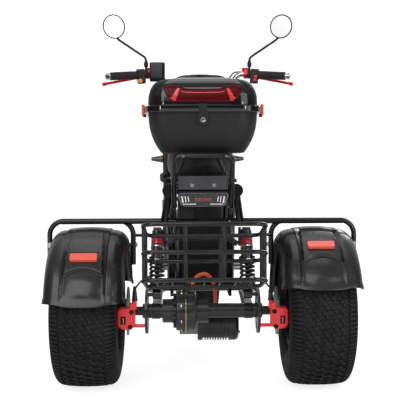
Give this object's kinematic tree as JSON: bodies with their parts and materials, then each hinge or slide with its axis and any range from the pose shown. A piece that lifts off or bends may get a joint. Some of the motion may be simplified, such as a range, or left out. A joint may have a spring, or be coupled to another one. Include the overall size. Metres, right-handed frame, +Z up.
{
  "type": "motorized trike",
  "caption": "Electric three-wheeled scooter with fat tyres, open rear axle and motor, coil shocks, seat, wire basket and hinged top case.",
  "frame": {"origin": "on the ground under the middle of the vehicle, halfway along its length", "axes": "+Y forward, +X to the rider's right, +Z up"},
  "size_m": [0.956, 1.904, 1.2888],
  "materials": {
    "tyre_rubber": "matte",
    "rim_black": "satin",
    "disc_steel": "brushed",
    "frame_black": "gloss",
    "axle_grey": "satin",
    "motor_grey": "satin",
    "shock_metal": "gloss",
    "spring_black": "satin",
    "caliper_red": "gloss",
    "bar_chrome": "polished",
    "grip_rubber": "matte",
    "lever_red": "anodised",
    "plastic_black": "matte",
    "fender_black": "gloss",
    "reflector_red": "gloss",
    "lamp_clear": "gloss",
    "signal_black": "gloss",
    "plate_grey": "satin",
    "seat_vinyl": "satin",
    "deck_metal": "brushed",
    "cable_orange": "satin",
    "hose_rubber": "satin"
  },
  "bodies": {
    "frame": {"main_frame": "frame_black", "swingarm": "frame_black", "guard_rail": "frame_black", "basket": "frame_black", "rear_rack": "frame_black", "seat_base": "frame_black", "axle_housing": "axle_grey", "differential": "axle_grey", "drive_motor": "motor_grey", "shocks": "shock_metal", "springs": "spring_black", "rear_calipers": "caliper_red", "junction_box": "plastic_black", "battery_box": "plastic_black", "case_base": "plastic_black", "left_fender": "fender_black", "right_fender": "fender_black", "fender_reflectors": "reflector_red", "tail_light": "lamp_clear", "plate_panel": "plate_grey", "seat": "seat_vinyl", "deck_plate": "deck_metal", "motor_cable": "cable_orange", "rear_brake_hoses": "hose_rubber"},
    "fork": {"fork": "frame_black", "handlebar": "bar_chrome", "grips": "grip_rubber", "switch_housings": "plastic_black", "brake_levers": "lever_red", "left_mirror": "plastic_black", "right_mirror": "plastic_black", "headlight": "lamp_clear", "front_signals": "signal_black", "front_caliper": "caliper_red", "front_fender": "fender_black", "display": "plastic_black", "front_brake_hose": "hose_rubber"},
    "front_wheel": {"front_tyre": "tyre_rubber", "front_rim": "rim_black", "front_disc": "disc_steel"},
    "rear_left_wheel": {"rear_left_tyre": "tyre_rubber", "rear_left_rim": "rim_black", "rear_left_disc": "disc_steel"},
    "rear_right_wheel": {"rear_right_tyre": "tyre_rubber", "rear_right_rim": "rim_black", "rear_right_disc": "disc_steel"},
    "case_lid": {"case_lid": "fender_black", "lid_reflector": "reflector_red", "backrest_pad": "seat_vinyl"}
  },
  "joints": [
    {"name": "steering", "type": "hinge", "parent": "frame", "child": "fork", "pos_m": [0, 0.69751, 0.21392], "axis": [0, -0.4695, 0.8829], "range_deg": [-38, 38]},
    {"name": "front_wheel_spin", "type": "hinge", "parent": "fork", "child": "front_wheel", "pos_m": [0, 0.724, 0.228], "axis": [1, 0, 0], "continuous": true},
    {"name": "rear_left_wheel_spin", "type": "hinge", "parent": "frame", "child": "rear_left_wheel", "pos_m": [-0.35, -0.576, 0.228], "axis": [1, 0, 0], "continuous": true},
    {"name": "rear_right_wheel_spin", "type": "hinge", "parent": "frame", "child": "rear_right_wheel", "pos_m": [0.35, -0.576, 0.228], "axis": [1, 0, 0], "continuous": true},
    {"name": "case_lid_hinge", "type": "hinge", "parent": "frame", "child": "case_lid", "pos_m": [0, -0.42, 0.8325], "axis": [-1, 0, 0], "range_deg": [0, 75]}
  ]
}
